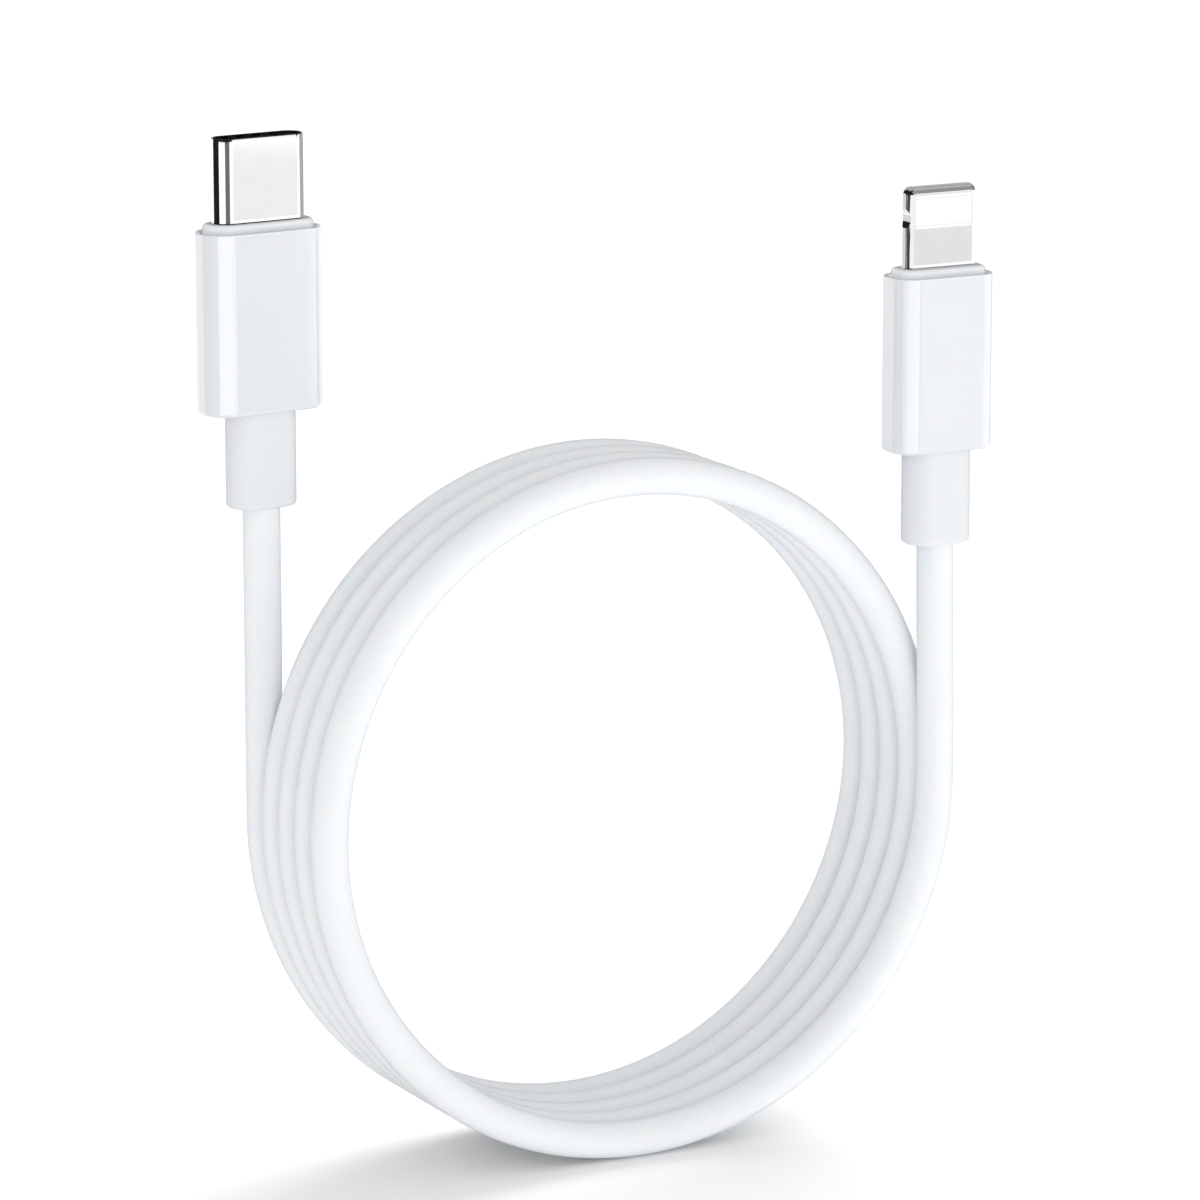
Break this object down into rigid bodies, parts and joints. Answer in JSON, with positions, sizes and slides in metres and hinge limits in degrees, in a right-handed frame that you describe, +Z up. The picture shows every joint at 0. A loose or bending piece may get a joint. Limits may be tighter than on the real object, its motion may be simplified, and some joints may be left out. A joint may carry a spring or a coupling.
{
  "type": "charging cable",
  "caption": "White charging cable wound in a round coil that stands on its edge, with a type-C plug at one end and a flat reversible tab plug at the other, both pointing up.",
  "frame": {"origin": "on the surface that the coil stands on, under the middle of the whole cable box", "axes": "+Z up, along both plugs towards their tips; +X from the type-C plug to the tab plug; -Y is the front, where the tab plug is, and the coil axis runs along Y"},
  "size_m": [0.0662, 0.019, 0.0864],
  "materials": {
    "cord_jacket": "smooth satin thermoplastic",
    "casing_white": "gloss",
    "collar_white": "gloss",
    "relief_white": "satin",
    "shell_steel": "polished",
    "tab_steel": "fine satin",
    "shield_steel": "rolled",
    "spring_steel": "bright",
    "contact_gold": "gold plated",
    "contact_pale": "pale plated",
    "carrier_black": "moulded",
    "insulator_pale": "moulded",
    "board_green": "solder mask",
    "chip_black": "moulded",
    "chip_tan": "fired",
    "mould_natural": "translucent",
    "crimp_tin": "tinned",
    "core_red": "satin",
    "core_black": "satin",
    "core_white": "satin",
    "core_green": "satin"
  },
  "bodies": {
    "cable": {"coiled_cord": "cord_jacket", "type_c_lead": "cord_jacket", "tab_lead": "cord_jacket", "type_c_casing": "casing_white", "tab_casing": "casing_white", "type_c_collar": "collar_white", "tab_collar": "collar_white", "type_c_strain_relief": "relief_white", "tab_strain_relief": "relief_white", "type_c_shell": "shell_steel", "tab_frame": "tab_steel", "type_c_front_shield": "shield_steel", "type_c_back_shield": "shield_steel", "tab_front_shield": "shield_steel", "tab_back_shield": "shield_steel", "type_c_latch_plate": "spring_steel", "type_c_front_contact_tails": "contact_gold", "type_c_back_contact_tails": "contact_gold", "tab_front_contacts": "contact_pale", "tab_back_contacts": "contact_pale", "type_c_contact_carrier": "carrier_black", "tab_contact_insulator": "insulator_pale", "type_c_circuit_board": "board_green", "tab_circuit_board": "board_green", "type_c_marker_chip": "chip_black", "tab_identity_chip": "chip_black", "tab_power_chip": "chip_black", "type_c_resistors": "chip_tan", "tab_capacitors": "chip_tan", "type_c_inner_mould": "mould_natural", "tab_inner_mould": "mould_natural", "type_c_crimp": "crimp_tin", "tab_crimp": "crimp_tin", "type_c_wire_red": "core_red", "tab_wire_red": "core_red", "type_c_wire_black": "core_black", "tab_wire_black": "core_black", "type_c_wire_white": "core_white", "tab_wire_white": "core_white", "type_c_wire_green": "core_green", "tab_wire_green": "core_green"},
    "front_contacts": {"type_c_front_contacts": "contact_gold"},
    "back_contacts": {"type_c_back_contacts": "contact_gold"},
    "left_latch": {"type_c_left_latch": "spring_steel"},
    "right_latch": {"type_c_right_latch": "spring_steel"},
    "front_ground_spring": {"type_c_front_ground_spring": "spring_steel"},
    "back_ground_spring": {"type_c_back_ground_spring": "spring_steel"}
  },
  "joints": [
    {"name": "front_contacts_flex", "type": "hinge", "parent": "cable", "child": "front_contacts", "pos_m": [-0.02751, 0.00624, 0.07918], "axis": [0.9954, 0.0958, 0], "range_deg": [0, 3], "stiffness_Nm_per_rad": 0.6},
    {"name": "back_contacts_flex", "type": "hinge", "parent": "cable", "child": "back_contacts", "pos_m": [-0.02762, 0.00739, 0.07918], "axis": [-0.9954, -0.0958, 0], "range_deg": [0, 3], "stiffness_Nm_per_rad": 0.6},
    {"name": "left_latch_flex", "type": "hinge", "parent": "cable", "child": "left_latch", "pos_m": [-0.03107, 0.00648, 0.07978], "axis": [0.0958, -0.9954, 0], "range_deg": [0, 2.6], "stiffness_Nm_per_rad": 0.5},
    {"name": "right_latch_flex", "type": "hinge", "parent": "cable", "child": "right_latch", "pos_m": [-0.02406, 0.00715, 0.07978], "axis": [-0.0958, 0.9954, 0], "range_deg": [0, 2.6], "stiffness_Nm_per_rad": 0.5},
    {"name": "front_ground_spring_flex", "type": "hinge", "parent": "cable", "child": "front_ground_spring", "pos_m": [-0.02747, 0.0059, 0.08455], "axis": [0.9954, 0.0958, 0], "range_deg": [0, 4], "stiffness_Nm_per_rad": 0.03},
    {"name": "back_ground_spring_flex", "type": "hinge", "parent": "cable", "child": "back_ground_spring", "pos_m": [-0.02765, 0.00773, 0.08455], "axis": [-0.9954, -0.0958, 0], "range_deg": [0, 4], "stiffness_Nm_per_rad": 0.03}
  ]
}
